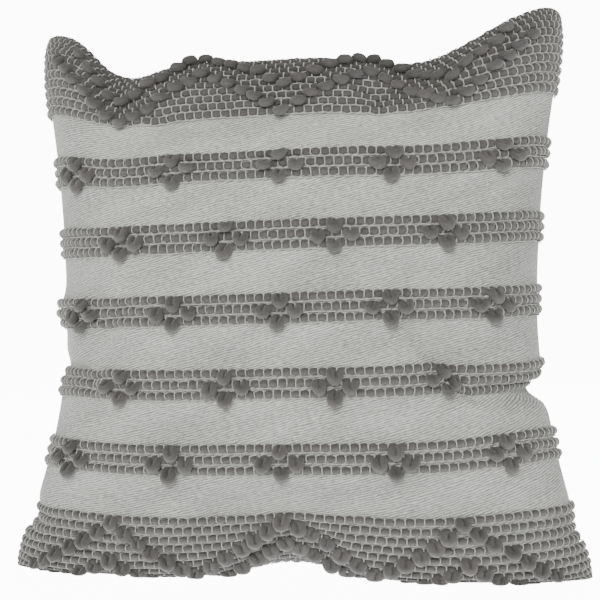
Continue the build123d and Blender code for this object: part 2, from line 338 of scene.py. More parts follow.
def turnAt(flat, halfChord, bulge):
    # angle on the quarter ellipse whose arc is the same share of the whole as flat is of the half panel
    turns = np.linspace(0, math.pi / 2, 721)
    middle = (turns[1:] + turns[:-1]) / 2
    arcs = np.concatenate([[0], np.cumsum(np.hypot(halfChord * np.cos(middle), bulge * np.sin(middle)))])
    return np.sign(flat) * np.interp(np.abs(flat), arcs / arcs[-1], turns)


def designedFace(side):
    # the face that the filling gives the cover, as a grid of places over the flat panel
    p = panel
    bulge = p["frontBulge"] if side < 0 else p["backBulge"]
    shares = np.linspace(-1, 1, p["cells"] + 1)
    a = turnAt(shares, p["sideHalf"], bulge)
    b = turnAt(shares, (p["topMiddle"] - p["arch"]) / 2, bulge)
    a, b = np.meshgrid(a, b)
    x, z = seamPlace(np.sin(a), np.sin(b))
    y = side * (p["edge"] + bulge * np.cos(a) * np.cos(b))
    return np.stack([x, y, z], axis=-1)


def gridQuads(index):
    corners = (index[:-1, :-1], index[:-1, 1:], index[1:, 1:], index[1:, :-1])
    return np.stack(corners, axis=-1).reshape(-1, 4)


def gridMesh(name, front, back):
    # both layers as one closed mesh that shares its outline
    n = front.shape[0]
    index = np.arange(n * n).reshape(n, n)
    backIndex = index.copy()
    inner = np.arange((n - 2) * (n - 2)).reshape(n - 2, n - 2) + n * n
    backIndex[1:-1, 1:-1] = inner
    points = np.concatenate([front.reshape(-1, 3), back[1:-1, 1:-1].reshape(-1, 3)])
    faces = []
    for layer, turned in ((index, False), (backIndex, True)):
        quads = gridQuads(layer)
        faces.append(quads[:, ::-1] if turned else quads)
    mesh = bpy.data.meshes.new(name)
    mesh.from_pydata(points.tolist(), [], np.concatenate(faces).tolist())
    return mesh, index, backIndex


stuffing = {
    "frames": 34,
    "pressure": 3.2,
    "tension": 18,
    "shear": 6,
    "bending": 0.6,
    "keepFine": 0.85,           # how much of the simulated creasing is kept
    "smooth": 9,                # cells over which the overall shape is averaged
    "cap": 9 * mm,
    "seamHold": 0.75,
}


def simulateCover(front, back):
    # the flat cut is the rest shape, so the spare cloth near the corners creases as the filling rounds it
    p = panel
    n = p["cells"] + 1
    mesh, index, backIndex = gridMesh("stuffedCover", front, back)
    cover = bpy.data.objects.new("stuffedCover", mesh)
    scene.collection.objects.link(cover)
    shares = np.linspace(-0.5, 0.5, n)
    s, t = np.meshgrid(shares * p["width"], shares * p["height"])
    flatFront = np.stack([s, -0.5 * mm + 0 * s, t + p["height"] / 2], axis=-1)
    flatBack = flatFront * (1, -1, 1)
    flat = np.concatenate([flatFront.reshape(-1, 3), flatBack[1:-1, 1:-1].reshape(-1, 3)])
    cover.shape_key_add(name="stuffed")
    cut = cover.shape_key_add(name="cut")
    cut.data.foreach_set("co", flat.ravel())
    cut.value = 0
    modifier = cover.modifiers.new("cloth", "CLOTH")
    cloth = modifier.settings
    cloth.rest_shape_key = cut
    cloth.quality = 8
    cloth.mass = 0.2
    cloth.tension_stiffness = stuffing["tension"]
    cloth.compression_stiffness = stuffing["tension"]
    cloth.shear_stiffness = stuffing["shear"]
    cloth.bending_stiffness = stuffing["bending"]
    cloth.tension_damping = 12
    cloth.compression_damping = 12
    cloth.use_pressure = True
    cloth.uniform_pressure_force = stuffing["pressure"]
    cloth.effector_weights.gravity = 0
    modifier.point_cache.frame_start = 1
    modifier.point_cache.frame_end = stuffing["frames"]
    for number in range(1, stuffing["frames"] + 1):
        scene.frame_set(number)
    done = cover.evaluated_get(bpy.context.evaluated_depsgraph_get())
    points = np.empty(len(mesh.vertices) * 3)
    done.data.vertices.foreach_get("co", points)
    points = points.reshape(-1, 3)
    bpy.data.objects.remove(cover)
    scene.frame_set(1)
    return points[index], points[backIndex]


def blurred(grid, width):
    # average over neighbours, with the grid carried on past its edges
    reach = int(width * 2.5)
    weights = np.exp(-0.5 * (np.arange(-reach, reach + 1) / width) ** 2)
    weights /= weights.sum()
    out = grid
    for axis in (0, 1):
        pad = [(0, 0)] * 3
        pad[axis] = (reach, reach)
        wide = np.pad(out, pad, mode="reflect", reflect_type="odd")
        out = sum(w * np.take(wide, range(i, i + grid.shape[axis]), axis=axis) for i, w in enumerate(weights))
    return out


def creased(design, simulated):
    fine = simulated - blurred(simulated, stuffing["smooth"])
    size = np.linalg.norm(fine, axis=-1, keepdims=True)
    fine *= np.minimum(1, stuffing["cap"] / np.maximum(size, 1e-9))
    # the seams hold the cloth, so the creases run out towards them
    inner = 1 - stuffing["seamHold"] * np.abs(np.linspace(-1, 1, design.shape[0])) ** 10
    return design + fine * stuffing["keepFine"] * (inner[:, None] * inner[None, :])[..., None]


pressedHeight = 8 * mm          # below this, cloth and yarn are squeezed together above the floor


def pressedOnFloor(points):
    # points lower than the pressed height close up towards the floor and keep their order
    points = points.copy()
    low = np.minimum(points[..., 2] / pressedHeight, 1)
    points[..., 2] = np.where(low < 1, pressedHeight * np.exp(low - 1), points[..., 2])
    return points


def faceMesh(name, face, cut=None, turned=False):
    # one layer of cloth with its flat cut as UV map
    rows, columns = face.shape[:2]
    quads = gridQuads(np.arange(rows * columns).reshape(rows, columns))
    if cut is None:
        cut = np.stack(np.meshgrid(np.linspace(0, 1, columns), np.linspace(0, 1, rows)), axis=-1)
    if turned:
        quads = quads[:, ::-1]
    mesh = bpy.data.meshes.new(name)
    mesh.from_pydata(face.reshape(-1, 3).tolist(), [], quads.tolist())
    layer = mesh.uv_layers.new(name="cut")
    layer.data.foreach_set("uv", cut.reshape(-1, 2)[quads.ravel()].ravel())
    mesh.polygons.foreach_set("use_smooth", [True] * len(mesh.polygons))
    piece = bpy.data.objects.new(name, mesh)
    scene.collection.objects.link(piece)
    return piece


def bareGuide(name, face, cut=None, turned=False):
    # outer surface alone, for small things to be laid on, removed later
    guide = faceMesh(name, face, cut, turned)
    guide.modifiers.new("round", "SUBSURF").levels = 1
    return guide


def finishCloth(piece, material, thick):
    rounder = piece.modifiers.new("round", "SUBSURF")
    rounder.levels = 1
    rounder.render_levels = 1
    wall = piece.modifiers.new("wall", "SOLIDIFY")
    wall.thickness = thick
    wall.offset = -1
    piece.data.materials.append(material)


zipLine = {
    "height": 60 * mm,
    "radius": 640 * mm,         # of the cone that the chain lies on
    "back": 62.9 * mm,
    "slope": 22,                # degrees
    "halfAngle": 13.2,          # degrees, to each end of the chain
    "tape": 5.6 * mm,           # depth of the tape's outer face
    "mouth": 4.2 * mm,          # folded edges of the cloth, from the chain's middle
    "edgeDepth": 2.6 * mm,
    "fade": 17 * mm,            # from the stuffed face down to the folded edge
    "closing": 14 * mm,         # over which the mouth closes past the ends of the chain
    "fold": 0.7 * mm,           # how far the doubled cloth stands up
    "foldWide": 7 * mm,
    "stitchLine": 4.6 * mm,     # from the folded edge
    "stitch": 3.1 * mm,
    "coilPitch": 1.3 * mm,
    "coilMiddle": 1.35 * mm,
}


def zipPlace(turn, depth, up):
    # place on the zip's cone: turn from straight back, depth below the cloth, up across the chain
    slope = math.radians(zipLine["slope"])
    reach = zipLine["radius"] - depth * math.cos(slope) + up * math.sin(slope)
    height = zipLine["height"] + depth * math.sin(slope) + up * math.cos(slope)
    y = zipLine["back"] - zipLine["radius"] + np.cos(turn) * reach
    return np.stack(np.broadcast_arrays(-np.sin(turn) * reach, y, height), axis=-1)


def zipRow(face):
    # for each column of the back, the row on which the zip lies
    half = face.shape[0] // 2
    rows = [np.interp(zipLine["height"], column[:half, 2], range(half)) for column in face.swapaxes(0, 1)]
    return np.array(rows)


def backPart(face, side):
    # upper (side 1) or lower (side -1) panel of the back: its places and its flat cut, sunk along the zip
    n = face.shape[0]
    cell = panel["height"] / (n - 1)
    line = zipRow(face)
    near = np.array([0, 0.5, 1.2, 2.2, 3.4, 4.6, 5.8, 7.2, 9.5, 13, 17.5, 22]) * mm
    end = n - 1 if side > 0 else 0
    count = int(abs(end - line.mean()) - near[-1] / cell)
    start = line + side * near[-1] / cell
    shares = np.linspace(0, 1, count + 1)[1:, None]
    rows = np.concatenate([line + side * near[:, None] / cell, start + (end - start) * shares])
    lower = np.clip(rows.astype(int), 0, n - 2)
    part = (rows - lower)[..., None]
    columns = np.arange(n)[None, :]
    places = face[lower, columns] * (1 - part) + face[lower + 1, columns] * part
    away = np.abs(rows - line) * cell
    turn = np.arcsin(-places[0, :, 0] / zipLine["radius"])
    reach = math.radians(zipLine["halfAngle"]) * zipLine["radius"]
    past = np.clip((np.abs(places[0, :, 0]) - reach) / zipLine["closing"], 0, 1)
    openShare = 1 - past * past * (3 - 2 * past)
    mouth = zipLine["mouth"] * openShare + 0.15 * mm
    ridge = np.clip(away / zipLine["foldWide"], 0, 1)
    stand = zipLine["fold"] * np.sin(math.pi * ridge) ** 0.6 * openShare
    stitched = 0.5 * mm * np.exp(-((away - zipLine["stitchLine"]) / mm) ** 2) * openShare
    fade = np.exp(-(away / zipLine["fade"]) ** 2)
    sunk = zipPlace(turn[None, :], zipLine["edgeDepth"] * fade, side * (mouth + away))
    weight = (fade * openShare)[..., None]
    places = places * (1 - weight) + sunk * weight
    out = zipPlace(turn, -1.0, 0.0) - zipPlace(turn, 0.0, 0.0)
    seam = 1.2 * mm * np.exp(-(away / (2 * mm)) ** 2) * (1 - openShare)
    places = places + out[None] * (stand - stitched - seam)[..., None]
    u = np.broadcast_to(np.linspace(0, 1, n), rows.shape)
    cut = np.stack([u, rows / (n - 1)], axis=-1)
    return (places, cut) if side > 0 else (places[::-1], cut[::-1])


def stitchPoints(face, side):
    # middles of the stitches along one folded edge, on the flat cut
    n = face.shape[0]
    line = zipRow(face)
    atLine = np.array([np.interp(line[j], range(n), face[:, j, 0]) for j in range(n)])
    reach = math.radians(zipLine["halfAngle"]) * zipLine["radius"]
    flat = np.linspace(-0.5, 0.5, n) * panel["width"]
    ends = np.interp([-reach, reach], atLine, flat)
    points = []
    for s in np.arange(ends[0], ends[1], zipLine["stitch"]):
        row = np.interp(s, flat, line) * panel["height"] / (n - 1)
        points.append((s, row + side * zipLine["stitchLine"] - panel["height"] / 2))
    return points


yarn = {
    "pitch": 6.65 * mm,
    "rowHigh": 5.7 * mm,
    "rowDeep": 4.4 * mm,
    "bandHigh": 5.5 * mm,
    "long": 0.97,               # visible length of a segment, as a share of the pitch
    "stripePitch": 51.5 * mm,
    "stripeRowPitch": 7.5 * mm,
    "stripes": 5,
    "bandStart": 145.5 * mm,
    "bandRowPitch": 7.0 * mm,
    "bandRows": 11,
    "endMargin": 5 * mm,
    "climb": 6,                 # rows that a zigzag line climbs before it turns
    "loopShift": -5.5 * mm,     # the loops' pattern lies a little to the left of the middle
    "tie": 0.42 * mm,           # radius of the warp threads that hold the rows
    "pick": 0.5 * mm,           # radius of the light ground thread between two rows
    "pickHigh": 1.0 * mm,
}


def sweptMesh(name, path, radii, sides, flat=1.0, around=None):
    # tube of the given radii along a path, closed at its ends, with the length and girth as UV map
    points, faces, uvs = [], [], []
    path = [Vector(p) for p in path]
    last = len(path) - 1
    for i, (place, radius) in enumerate(zip(path, radii)):
        along = (path[min(i + 1, last)] - path[max(i - 1, 0)]).normalized()
        side = (around or Vector((0, 1, 0))).cross(along).normalized()
        up = along.cross(side)
        for k in range(sides):
            turn = 2 * math.pi * k / sides
            points.append(place + side * math.cos(turn) * radius * flat + up * math.sin(turn) * radius)
    for i in range(last):
        for k in range(sides):
            nextK = (k + 1) % sides
            faces.append((i * sides + k, i * sides + nextK, (i + 1) * sides + nextK, (i + 1) * sides + k))
            uvs += [(i / last, k / sides), (i / last, (k + 1) / sides),
                    ((i + 1) / last, (k + 1) / sides), ((i + 1) / last, k / sides)]
    faces.append(tuple(range(sides))[::-1])
    faces.append(tuple(last * sides + k for k in range(sides)))
    uvs += [(0, k / sides) for k in range(sides)][::-1] + [(1, k / sides) for k in range(sides)]
    mesh = bpy.data.meshes.new(name)
    mesh.from_pydata([tuple(p) for p in points], [], faces)
    layer = mesh.uv_layers.new(name="along")
    layer.data.foreach_set("uv", [c for uv in uvs for c in uv])
    for polygon in mesh.polygons:
        polygon.use_smooth = True
    return mesh


def turnedOut(mesh):
    # makes every face of a small closed shape point outwards
    work = bmesh.new()
    work.from_mesh(mesh)
    bmesh.ops.recalc_face_normals(work, faces=work.faces)
    work.to_mesh(mesh)
    work.free()
    return mesh


def segmentMesh(high):
    # one visible length of roving between two ties: full in the middle, pinched at both ends
    half = yarn["pitch"] / 2 * yarn["long"]
    shares = (-1.0, -0.88, -0.6, 0.0, 0.6, 0.88, 1.0)
    path = [(half * s, 0, 0) for s in shares]
    radii = [high / 2 * (0.40 + 0.60 * (1 - abs(s) ** 3)) for s in shares]
    mesh = sweptMesh("segment", path, radii, 10, around=Vector((0, 0, 1)))
    for vertex in mesh.vertices:
        middle = yarn["rowDeep"] * 0.3
        vertex.co.z = middle + vertex.co.z * yarn["rowDeep"] / high
    return turnedOut(mesh)


def joined(name, meshes):
    work = bmesh.new()
    for mesh in meshes:
        work.from_mesh(mesh)
    both = bpy.data.meshes.new(name)
    work.to_mesh(both)
    work.free()
    return both


def tieMesh(high, rowPitch):
    # thin warp thread that holds the roving down, with the ground thread that shows below the row
    path = []
    for step in range(7):
        turn = math.pi * step / 6
        path.append((0, -math.cos(turn) * high * 0.55, math.sin(turn) * yarn["rowDeep"] * 0.78 - 0.1 * mm))
    tie = sweptMesh("tie", path, [yarn["tie"]] * 7, 5, around=Vector((1, 0, 0)))
    half = yarn["pitch"] * 0.52
    low = -rowPitch / 2
    path = [(-half, low, yarn["pickHigh"]), (0, low, yarn["pickHigh"] * 1.25), (half, low, yarn["pickHigh"])]
    pick = sweptMesh("pick", path, [yarn["pick"]] * 3, 6, around=Vector((0, 0, 1)))
    return turnedOut(joined("tie", [tie, pick]))


loop = {
    "yarn": 3.15 * mm,          # radius
    "halfWidth": 2.75 * mm,     # from the middle of the loop to the middle of each leg
    "leg": 4.4 * mm,
    "droop": 42,                # degrees, from straight out towards the pillow's foot
    "sides": 9,
    "legRings": 3,
    "bendRings": 9,
    "shapes": 6,
    "lift": 1.6 * mm,           # above the cloth
    "sidestep": 1.72,           # from a cluster's middle to its side loops, in segments
    "zigzagStep": 1.5,          # from one loop of a zigzag line to the next, in segments
    "clusterPeriod": 12,        # from one cluster to the next, in segments
}


def loopMesh(number):
    # a raised loop: two thick legs side by side come out of the row and meet in a tight round bend
    draw = random.Random(100 + number)
    wide = loop["halfWidth"] * draw.uniform(0.94, 1.14)
    leg = loop["leg"] * draw.uniform(0.8, 1.15)
    droop = math.radians(loop["droop"] + draw.uniform(-12, 12))
    lean = draw.uniform(-0.16, 0.16)
    line = [(-wide, leg * i / loop["legRings"]) for i in range(loop["legRings"])]
    for i in range(loop["bendRings"]):
        turn = math.pi * i / (loop["bendRings"] - 1)
        line.append((-wide * math.cos(turn), leg + wide * math.sin(turn)))
    line += [(wide, leg * i / loop["legRings"]) for i in reversed(range(loop["legRings"]))]
    path, radii = [], []
    for x, out in line:
        share = out / (leg + wide)
        tilt = droop * (0.45 + 0.55 * share)
        path.append((x + lean * out, -math.sin(tilt) * out, math.cos(tilt) * out))
        radii.append(loop["yarn"] * (0.90 + 0.12 * share) * draw.uniform(0.97, 1.03))
    mesh = sweptMesh("loop", path, radii, loop["sides"], around=Vector((0, 1, 0)))
    for k, vertex in enumerate(mesh.vertices):
        ring, spoke = divmod(k, loop["sides"])
        ridge = 1 + 0.05 * math.cos(2 * math.pi * (3 * spoke / loop["sides"] + ring * 0.16))
        centre = Vector(path[ring])
        vertex.co = centre + (vertex.co - centre) * ridge
    return turnedOut(mesh)


def stitchMesh():
    # one sewn stitch that dips into the cloth at both ends
    half = zipLine["stitch"] * 0.42
    shares = (-1.0, -0.7, 0.0, 0.7, 1.0)
    path = [(half * s, 0, 0.25 * mm * (1 - 2.4 * s**4)) for s in shares]
    return turnedOut(sweptMesh("stitch", path, [0.32 * mm] * 5, 6, around=Vector((0, 0, 1))))


def seamStitching(name, face, pitch, radius):
    # stitches end to end along the cover's outline, each dipping into the seam
    outline = np.concatenate([face[0, :-1], face[:-1, -1], face[-1, :0:-1], face[:0:-1, 0], face[:1, 0]])
    along = np.concatenate([[0], np.cumsum(np.linalg.norm(np.diff(outline, axis=0), axis=1))])
    stitches = []
    for start in np.arange(0, along[-1] - pitch, pitch):
        spots = start + pitch * np.array([0.04, 0.25, 0.5, 0.75, 0.96])
        path = np.stack([np.interp(spots, along, outline[:, i]) for i in range(3)], axis=-1)
        stitches.append(sweptMesh(name, path, [radius * r for r in (0.6, 1, 1, 1, 0.6)], 6))
    piece = bpy.data.objects.new(name, turnedOut(joined(name, stitches)))
    scene.collection.objects.link(piece)
    return piece


insert = {
    "middle": 205 * mm,
    "ticking": 0.9,             # size of the insert's cloth, as a share of the cover's
    "filling": 0.886,
    "cloth": 0.6 * mm,
}


def shrunk(face, share):
    middle = np.array([0, 0, insert["middle"]])
    return pressedOnFloor(middle + (face - middle) * share)


def coilMesh(side):
    # one turn of the nylon coil: over the tape's edge and back under it
    shares = (-1.0, -0.75, -0.3, 0.3, 0.75, 1.0)
    path = []
    for s in shares:
        path.append((0.22 * mm * s, side * 1.25 * mm * s, 0.85 * mm * (1 - abs(s) ** 3)))
    return turnedOut(sweptMesh("coil", path, [0.42 * mm] * 6, 6, around=Vector((1, 0, 0))))


def layTree(pieceCount):
    # places copies of small shapes on the panel: each input point is a place on the flat cut, in metres
    tree = bpy.data.node_groups.new("layOnPanel", "GeometryNodeTree")
    face = tree.interface
    face.new_socket("Geometry", in_out="INPUT", socket_type="NodeSocketGeometry")
    inputs = [("Panel", "Object"), ("Shapes", "Collection"), ("Width", "Float"), ("Height", "Float"),
              ("Lift", "Float"), ("Uneven size", "Float"), ("Uneven turn", "Float"), ("Seed", "Int"),
              ("Material", "Material")]
    for name, kind in inputs:
        face.new_socket(name, in_out="INPUT", socket_type="NodeSocket" + kind)
    face.new_socket("Geometry", in_out="OUTPUT", socket_type="NodeSocketGeometry")
    start = tree.nodes.new("NodeGroupInput")
    end = tree.nodes.new("NodeGroupOutput")
    give = start.outputs
    cloth = addNode(tree, "GeometryNodeObjectInfo", {"transform_space": "RELATIVE"},
                    {"Object": give["Panel"]})
    cutMap = addNode(tree, "GeometryNodeInputNamedAttribute", {"data_type": "FLOAT_VECTOR", "Name": "cut"})
    place = addNode(tree, "GeometryNodeInputPosition")
    size = addNode(tree, "ShaderNodeCombineXYZ", {"Z": 1.0}, {"X": give["Width"], "Y": give["Height"]})
    share = addNode(tree, "ShaderNodeVectorMath", {"operation": "DIVIDE"},
                    {0: place.outputs[0], 1: size.outputs[0]})
    centred = addNode(tree, "ShaderNodeVectorMath", {"operation": "ADD", 1: (0.5, 0.5, 0)},
                      {0: share.outputs[0]})
    nudge = 0.004               # of the panel's width: the place beside it gives the row's direction
    nudged = addNode(tree, "ShaderNodeVectorMath", {"operation": "ADD", 1: (nudge, 0, 0)},
                     {0: centred.outputs[0]})
    clothPlace = addNode(tree, "GeometryNodeInputPosition")
    clothNormal = addNode(tree, "GeometryNodeInputNormal")
    samples = []
    for value, where in ((clothPlace, centred), (clothNormal, centred), (clothPlace, nudged)):
        node = addNode(tree, "GeometryNodeSampleUVSurface", {"data_type": "FLOAT_VECTOR"},
                       {"Mesh": cloth.outputs["Geometry"], "Value": value.outputs[0],
                        "Source UV Map": cutMap.outputs["Attribute"], "Sample UV": where.outputs[0]})
        samples.append(node)
    spot, normal, ahead = (node.outputs["Value"] for node in samples)
    along = addNode(tree, "ShaderNodeVectorMath", {"operation": "SUBTRACT"}, {0: ahead, 1: spot})
    stretch = addNode(tree, "ShaderNodeVectorMath", {"operation": "LENGTH"}, {0: along.outputs[0]})
    plain = addNode(tree, "ShaderNodeMath", {"operation": "MULTIPLY", 1: nudge}, {0: give["Width"]})
    ease = addNode(tree, "ShaderNodeMath", {"operation": "DIVIDE"},
                   {0: stretch.outputs["Value"], 1: plain.outputs[0]})
    held = addNode(tree, "ShaderNodeClamp", {"Min": 0.72, "Max": 1.12}, {"Value": ease.outputs[0]})
    lifted = addNode(tree, "ShaderNodeVectorMath", {"operation": "SCALE"}, {0: normal, "Scale": give["Lift"]})
    onTop = addNode(tree, "ShaderNodeVectorMath", {"operation": "ADD"}, {0: spot, 1: lifted.outputs[0]})
    lost = addNode(tree, "FunctionNodeBooleanMath", {"operation": "NOT"}, {0: samples[0].outputs["Is Valid"]})
    found = addNode(tree, "GeometryNodeDeleteGeometry", {"domain": "POINT"},
                    {"Geometry": give["Geometry"], "Selection": lost.outputs[0]})
    # the sampled values are stored before the points move
    keep = found.outputs["Geometry"]
    stored = []
    for name, value, kind in (("face", normal, "FLOAT_VECTOR"), ("run", along.outputs[0], "FLOAT_VECTOR"),
                              ("ease", held.outputs[0], "FLOAT")):
        settings = {"data_type": kind, "Name": name}
        store = addNode(tree, "GeometryNodeStoreNamedAttribute", settings, {"Geometry": keep, "Value": value})
        keep = store.outputs["Geometry"]
        stored.append(addNode(tree, "GeometryNodeInputNamedAttribute", settings).outputs[0])
    moved = addNode(tree, "GeometryNodeSetPosition", links={"Geometry": keep, "Position": onTop.outputs[0]})
    stand = addNode(tree, "FunctionNodeAxesToRotation", {"primary_axis": "Z", "secondary_axis": "X"},
                    {0: stored[0], 1: stored[1]})
    shapes = addNode(tree, "GeometryNodeCollectionInfo", {"Separate Children": True, "Reset Children": True},
                     {"Collection": give["Shapes"]})
    seed = {"Seed": give["Seed"]}
    pick = addNode(tree, "FunctionNodeRandomValue", {"data_type": "INT", 4: 0, 5: pieceCount - 1}, seed)
    turn = addNode(tree, "FunctionNodeRandomValue",
                   {"data_type": "FLOAT_VECTOR", 0: (-1, -1, -1), 1: (1, 1, 1)}, seed)
    turnScaled = addNode(tree, "ShaderNodeVectorMath", {"operation": "SCALE"},
                         {0: turn.outputs[0], "Scale": give["Uneven turn"]})
    jitter = addNode(tree, "FunctionNodeEulerToRotation", links={0: turnScaled.outputs[0]})
    rotated = addNode(tree, "FunctionNodeRotateRotation", {"rotation_space": "LOCAL"},
                      {0: stand.outputs[0], 1: jitter.outputs[0]})
    grow = addNode(tree, "FunctionNodeRandomValue",
                   {"data_type": "FLOAT_VECTOR", 0: (-0.4, -1, -1), 1: (0.4, 1, 1)}, seed)
    growScaled = addNode(tree, "ShaderNodeVectorMath", {"operation": "SCALE"},
                         {0: grow.outputs[0], "Scale": give["Uneven size"]})
    fit = addNode(tree, "ShaderNodeCombineXYZ", {"Y": 1.0, "Z": 1.0}, {"X": stored[2]})
    scaled = addNode(tree, "ShaderNodeVectorMath", {"operation": "ADD"},
                     {0: fit.outputs[0], 1: growScaled.outputs[0]})
    copies = addNode(tree, "GeometryNodeInstanceOnPoints", {"Pick Instance": True},
                     {"Points": moved.outputs[0], "Instance": shapes.outputs[0],
                      "Instance Index": pick.outputs[2], "Rotation": rotated.outputs[0],
                      "Scale": scaled.outputs[0]})
    shade = addNode(tree, "FunctionNodeRandomValue", {"data_type": "FLOAT"}, seed)
    shaded = addNode(tree, "GeometryNodeStoreNamedAttribute",
                     {"data_type": "FLOAT", "domain": "INSTANCE", "Name": "shade"},
                     {"Geometry": copies.outputs[0], "Value": shade.outputs[1]})
    real = addNode(tree, "GeometryNodeRealizeInstances", links={"Geometry": shaded.outputs[0]})
    smooth = addNode(tree, "GeometryNodeSetShadeSmooth", links={"Geometry": real.outputs[0]})
    painted = addNode(tree, "GeometryNodeSetMaterial",
                      links={"Geometry": smooth.outputs[0], "Material": give["Material"]})
    tree.links.new(painted.outputs[0], end.inputs[0])
    return tree


def shapeCollection(name, meshes):
    # small shapes kept off the scene, for the nodes to copy
    group = bpy.data.collections.new(name)
    for i, mesh in enumerate(meshes):
        group.objects.link(bpy.data.objects.new(name + "Shape" + str(i), mesh))
    return group, len(meshes)


def layOnPanel(name, points, shapes, cover, material, lift=0.0, unevenSize=0.0, unevenTurn=0.0, seed=0,
               size=(panel["width"], panel["height"])):
    group, count = shapes
    mesh = bpy.data.meshes.new(name + "Points")
    mesh.from_pydata([(s, t, 0) for s, t in points], [], [])
    work = bpy.data.objects.new(name + "Points", mesh)
    scene.collection.objects.link(work)
    tree = layTree(count)
    modifier = work.modifiers.new("lay", "NODES")
    modifier.node_group = tree
    values = {"Panel": cover, "Shapes": group, "Width": size[0], "Height": size[1], "Lift": lift,
              "Uneven size": unevenSize, "Uneven turn": unevenTurn, "Seed": seed, "Material": material}
    for item in tree.interface.items_tree:
        if item.item_type == "SOCKET" and item.in_out == "INPUT" and item.name in values:
            modifier[item.identifier] = values[item.name]
    depsgraph = bpy.context.evaluated_depsgraph_get()
    laid = bpy.data.meshes.new_from_object(work.evaluated_get(depsgraph))
    bpy.data.objects.remove(work)
    spots = np.empty(len(laid.vertices) * 3)
    laid.vertices.foreach_get("co", spots)
    laid.vertices.foreach_set("co", pressedOnFloor(spots.reshape(-1, 3)).ravel())
    laid.name = name
    piece = bpy.data.objects.new(name, laid)
    scene.collection.objects.link(piece)
    return piece


def rowPoints(up, offset):
    # middles of the segments along one row of the flat cut
    half = panel["width"] / 2 - yarn["endMargin"]
    count = int(half / yarn["pitch"]) + 1
    places = [(i + offset) * yarn["pitch"] for i in range(-count, count + 1)]
    return [(s, up) for s in places if abs(s) <= half]


def stripeMiddle(number):
    return yarn["stripePitch"] * ((yarn["stripes"] + 1) / 2 - number)


def clusterPoints(number):
    middle = stripeMiddle(number)
    clusters = 5 if number % 2 else 4
    period = loop["clusterPeriod"] * yarn["pitch"]
    points = []
    for i in range(clusters):
        s = (i - (clusters - 1) / 2) * period + yarn["loopShift"]
        step = loop["sidestep"] * yarn["pitch"]
        points += [(s, middle + yarn["stripeRowPitch"]), (s - step, middle), (s + step, middle),
                   (s, middle - yarn["stripeRowPitch"])]
    return points


def zigzagPoints(end, firstRow, reach):
    step = loop["zigzagStep"] * yarn["pitch"]
    points = []
    for i in range(-reach, reach + 1):
        climb = yarn["climb"] - abs(abs(i) % (2 * yarn["climb"]) - yarn["climb"])
        up = end * (yarn["bandStart"] + (firstRow + climb) * yarn["bandRowPitch"])
        points.append((i * step + yarn["loopShift"], up))
    return points


def ride(piece, slotName, *nodes, body="pillow"):
    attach(piece, body)
    if nodes:
        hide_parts(*nodes)


makeCamera()
makeLights()
twill = twillMaterial()
roving = rovingMaterial()
warpThread = threadMaterial("spunWarpThread", "#bcbcb4", "#87867f", 0.5 * mm)
seamThread = threadMaterial("spunSewingThread", "#b9b9b4", "#969691", 0.4 * mm)
tapeCloth = wovenMaterial("wovenZipTape", "#b4b4af", "#8f8f8b", 0.6 * mm, 0.15 * mm)
tickingCloth = wovenMaterial("cottonTicking", "#e9e7e0", "#cfcdc5", 0.5 * mm, 0.12 * mm)
enamel = enamelMaterial()
nylon = coilMaterial()
print("materials made")

frontDesign, backDesign = designedFace(-1), designedFace(1)
frontSim, backSim = simulateCover(frontDesign, backDesign)
frontFace, backFace = creased(frontDesign, frontSim), creased(backDesign, backSim)
print("cover stuffed")

guide = bareGuide("guide", frontFace)
frontPanel = faceMesh("coverFrontPanel", pressedOnFloor(frontFace))
finishCloth(frontPanel, twill, panel["cloth"])
ride(frontPanel, "handloomed_ground", "cover_front_panel")

stitch = shapeCollection("stitch", [stitchMesh()])
for partName, side in (("Upper", 1), ("Lower", -1)):
    places, cut = backPart(backFace, side)
    backPanel = faceMesh("coverBackPanel" + partName, pressedOnFloor(places), cut, turned=True)
    finishCloth(backPanel, twill, panel["cloth"])
    ride(backPanel, "handloomed_ground", "cover_back_panel_" + partName.lower())
    backGuide = bareGuide("backGuide", places, cut, turned=True)
    piece = layOnPanel("zipTopstitching" + partName, stitchPoints(backFace, side), stitch, backGuide,
                       seamThread, unevenTurn=0.05, seed=40 + side)
    ride(piece, "sewing_thread")
    if side > 0:
        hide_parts("zip_topstitching")
    bpy.data.objects.remove(backGuide)
print("panels sewn")

edge = seamStitching("coverEdgeStitching", pressedOnFloor(frontFace), zipLine["stitch"], 0.34 * mm)
edge.data.materials.append(seamThread)
ride(edge, "sewing_thread", "cover_edge_stitching")
for partName, face, turned in (("Front", frontFace, False), ("Back", backFace, True)):
    ticking = faceMesh("insertTicking" + partName, shrunk(face, insert["ticking"]), turned=turned)
    finishCloth(ticking, tickingCloth, insert["cloth"])
    ride(ticking, "ticking", "insert_ticking_" + partName.lower())
fillingFaces = [shrunk(face, insert["filling"]) for face in (frontFace, backFace)]
fillingMesh = gridMesh("insertFilling", *fillingFaces)[0]
filling = bpy.data.objects.new("insertFilling", fillingMesh)
scene.collection.objects.link(filling)
fillingMesh.materials.append(tickingCloth)
ride(filling, "filling", "insert_filling")
print("insert stuffed")

